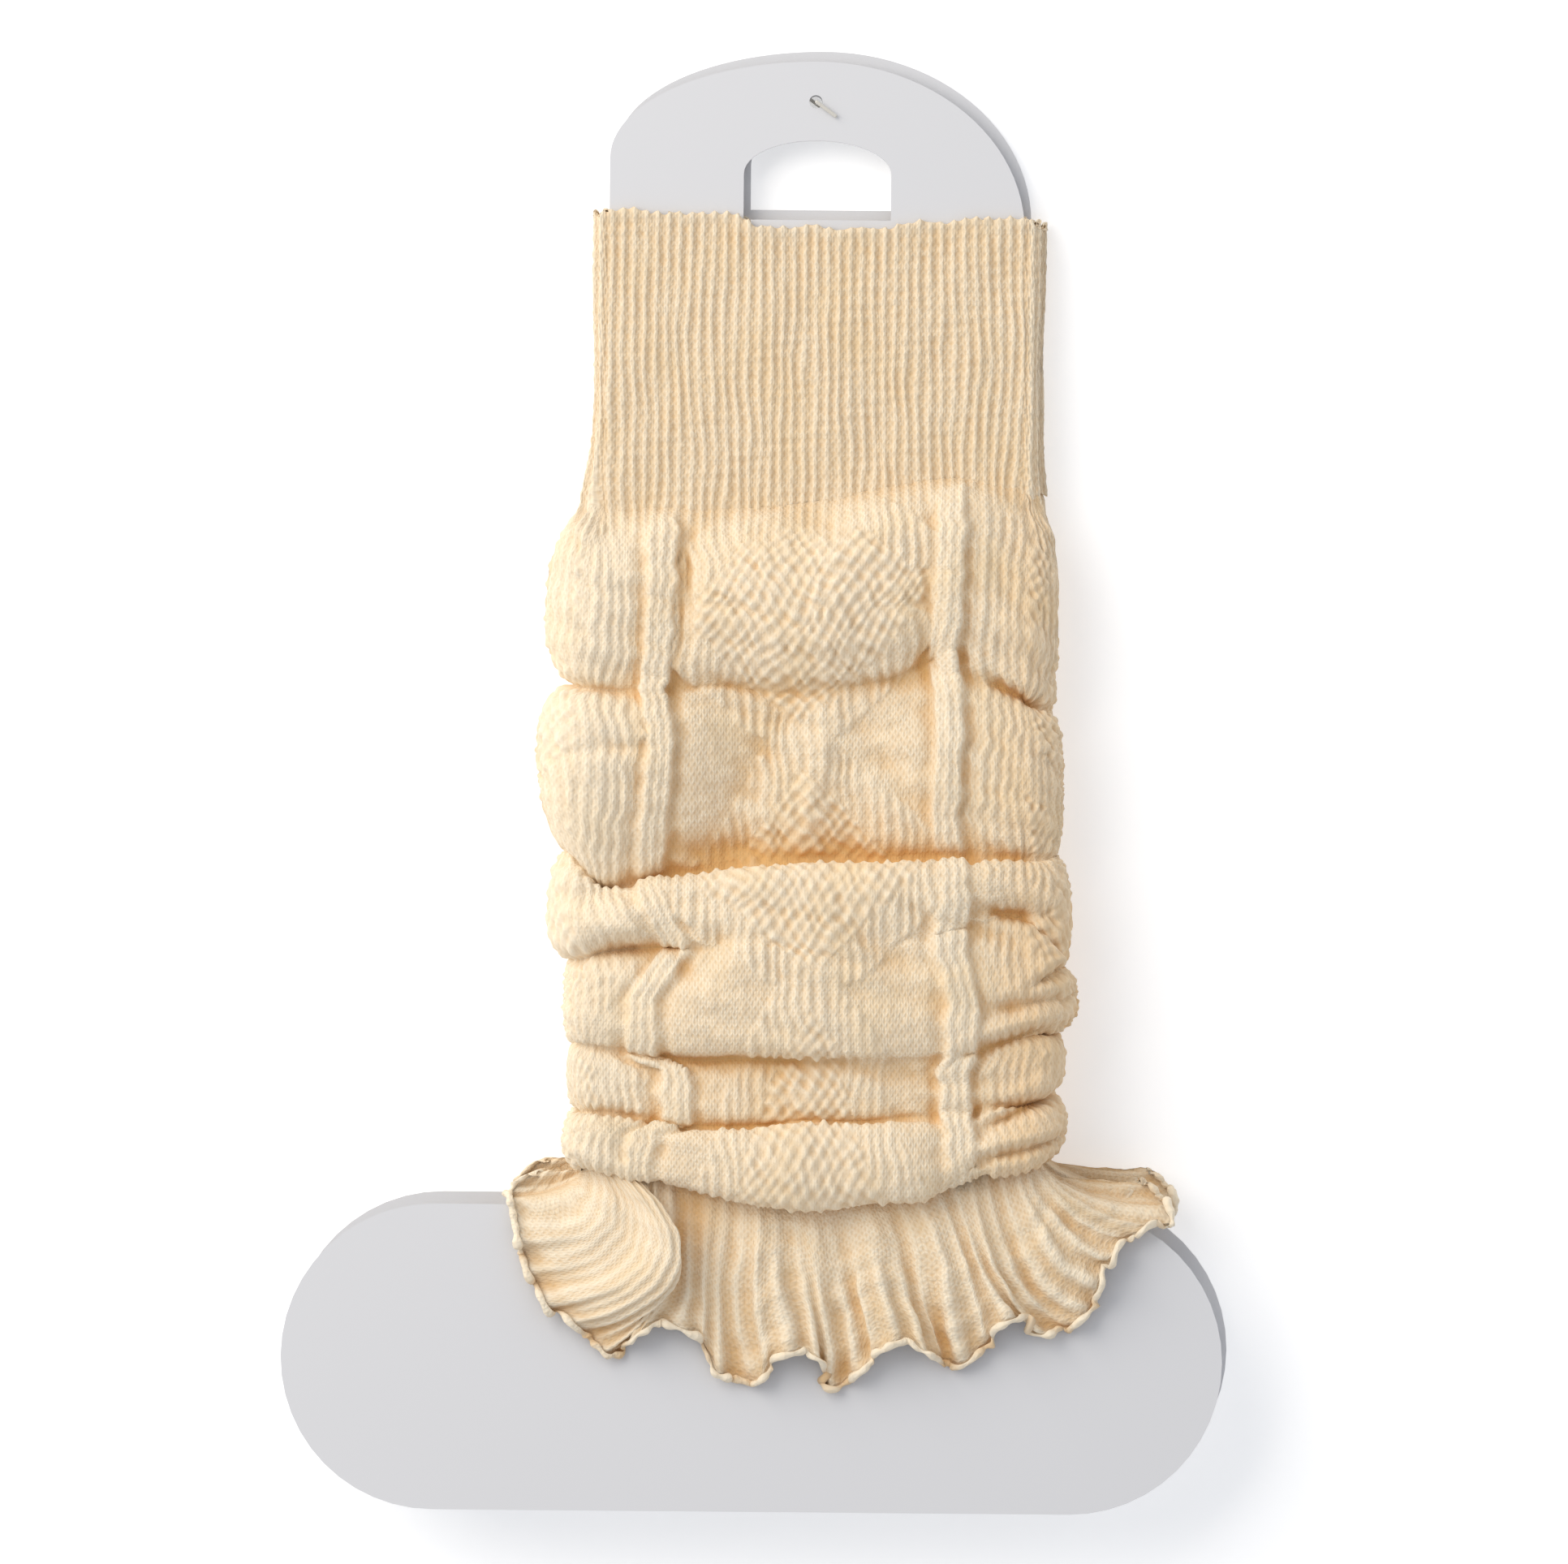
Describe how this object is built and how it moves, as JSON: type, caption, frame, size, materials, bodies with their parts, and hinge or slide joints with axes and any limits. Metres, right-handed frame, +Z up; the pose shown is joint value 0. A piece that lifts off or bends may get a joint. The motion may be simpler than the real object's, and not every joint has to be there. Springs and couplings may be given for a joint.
{
  "type": "pair of leg warmers on foot-shaped display cards",
  "caption": "Slouched ribbed leg warmers with a frilled hem, each on a flat foot-shaped display card, lying one on the other.",
  "frame": {"origin": "under the middle of the pair's outline, on the plane of the table it lies on", "axes": "+X across the cards, +Y from the foot end to the hanging slot, +Z up, away from the table"},
  "size_m": [0.2518, 0.3896, 0.039],
  "materials": {
    "cream_knit": "soft brushed wool-blend knit",
    "white_card": "satin polypropylene sheet",
    "tag_pin": "smooth"
  },
  "bodies": {
    "root": {"front_cuff": "cream_knit", "front_body": "cream_knit", "front_frill": "cream_knit", "rear_cuff": "cream_knit", "rear_body": "cream_knit", "rear_frill": "cream_knit", "front_card": "white_card", "rear_card": "white_card", "tag_pin": "tag_pin"}
  },
  "joints": []
}
